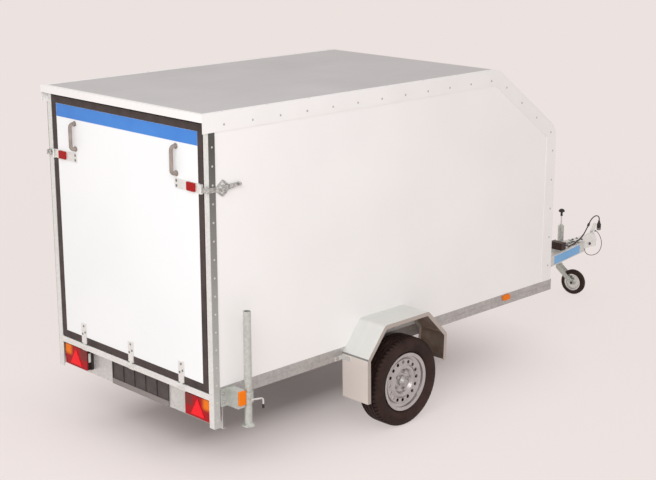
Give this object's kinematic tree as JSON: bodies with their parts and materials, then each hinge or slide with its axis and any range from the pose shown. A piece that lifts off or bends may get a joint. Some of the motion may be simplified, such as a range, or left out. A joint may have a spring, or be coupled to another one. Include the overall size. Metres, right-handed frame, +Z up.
{
  "type": "enclosed cargo trailer",
  "caption": "Closed box trailer with a sloped nose, rear ramp door, road wheels under folded mudguards, V drawbar with ball coupling, winding nose wheel and prop stands.",
  "frame": {"origin": "on the ground under the middle of the trailer's box, from the roof's rear edge to the coupling's nose", "axes": "+X forward to the coupling, +Y to the left, +Z up"},
  "size_m": [4.748, 1.914, 2.075],
  "materials": {
    "galvanised_steel": "hot-dip galvanised, dull spangle",
    "white_panel": "white laminate on plywood, smooth",
    "white_trim": "white coated sheet, satin",
    "roof_metal": "plain grey sheet, satin",
    "floor_board": "dark film-faced plywood",
    "mudguard_metal": "mill-finish sheet",
    "dark_steel": "black coated steel",
    "plated_steel": "bright zinc plate",
    "rim_silver": "silver lacquer, satin",
    "tyre": "black tread rubber",
    "nose_rubber": "solid black rubber",
    "door_rubber": "dark brown-black profile",
    "cable_rubber": "black cable sheath",
    "black_plastic": "moulded black plastic",
    "grey_plastic": "moulded grey plastic",
    "red_lens": "clear red moulding",
    "amber_lens": "clear amber moulding"
  },
  "bodies": {
    "trailer": {"side_rails": "galvanised_steel", "cross_members": "galvanised_steel", "rear_sill": "galvanised_steel", "bumper_plate": "galvanised_steel", "drawbar_legs": "galvanised_steel", "drawbar_brackets": "galvanised_steel", "axle_beam": "galvanised_steel", "suspension_arms": "dark_steel", "floor_panel": "floor_board", "side_panel_left": "white_panel", "side_panel_right": "white_panel", "front_panel": "white_panel", "slope_panel": "white_panel", "roof_panel": "white_panel", "roof_sheet": "roof_metal", "edge_trim_left": "white_trim", "edge_trim_right": "white_trim", "rear_band": "white_trim", "door_lintel": "galvanised_steel", "corner_posts": "galvanised_steel", "hinge_brackets": "galvanised_steel", "side_latches": "galvanised_steel", "lamp_housings": "black_plastic", "lamp_lenses": "red_lens", "plate_holder": "black_plastic", "side_markers": "amber_lens", "mudguard_left": "mudguard_metal", "mudguard_right": "mudguard_metal", "mudguard_brackets": "galvanised_steel", "stand_clamps": "galvanised_steel", "clamp_levers": "dark_steel", "coupling_head": "plated_steel", "coupling_handle": "plated_steel", "stem_clamp": "galvanised_steel", "stem_tube": "galvanised_steel", "stem_crank": "dark_steel", "junction_box": "black_plastic", "lead": "cable_rubber", "lead_plug": "black_plastic", "safety_wire": "cable_rubber"},
    "rear_door": {"door_panel": "white_panel", "door_frame": "door_rubber", "hinge_straps": "galvanised_steel", "grab_handles": "grey_plastic", "latch_plates": "galvanised_steel", "door_reflectors": "red_lens"},
    "wheel_left": {"tyre_left": "tyre", "rim_left": "rim_silver", "hub_left": "galvanised_steel"},
    "wheel_right": {"tyre_right": "tyre", "rim_right": "rim_silver", "hub_right": "galvanised_steel"},
    "prop_left": {"prop_stand_left": "galvanised_steel"},
    "prop_right": {"prop_stand_right": "galvanised_steel"},
    "nose_leg": {"nose_inner_tube": "galvanised_steel"},
    "nose_castor": {"nose_fork": "galvanised_steel"},
    "nose_wheel": {"nose_rim": "grey_plastic", "nose_tyre": "nose_rubber"}
  },
  "joints": [
    {"name": "door_hinge", "type": "hinge", "parent": "trailer", "child": "rear_door", "pos_m": [-2.319, 0, 0.505], "axis": [0, -1, 0], "range_deg": [0, 108]},
    {"name": "wheel_left_turn", "type": "hinge", "parent": "trailer", "child": "wheel_left", "pos_m": [-0.937, 0.858, 0.28], "axis": [0, 1, 0], "continuous": true},
    {"name": "wheel_right_turn", "type": "hinge", "parent": "trailer", "child": "wheel_right", "pos_m": [-0.937, -0.858, 0.28], "axis": [0, 1, 0], "continuous": true},
    {"name": "prop_left_slide", "type": "slide", "parent": "trailer", "child": "prop_left", "axis": [0, 0, 1], "range_m": [-0.32, 0.09]},
    {"name": "prop_right_slide", "type": "slide", "parent": "trailer", "child": "prop_right", "axis": [0, 0, 1], "range_m": [-0.32, 0.09]},
    {"name": "nose_lift", "type": "slide", "parent": "trailer", "child": "nose_leg", "axis": [0, 0, 1], "range_m": [0, 0.11]},
    {"name": "nose_swivel", "type": "hinge", "parent": "nose_leg", "child": "nose_castor", "pos_m": [2.037, 0.11219, 0.2], "axis": [0, 0, 1], "continuous": true},
    {"name": "nose_wheel_turn", "type": "hinge", "parent": "nose_castor", "child": "nose_wheel", "pos_m": [2.05923, -0.01387, 0.1], "axis": [0.9848, 0.1736, 0], "continuous": true}
  ]
}
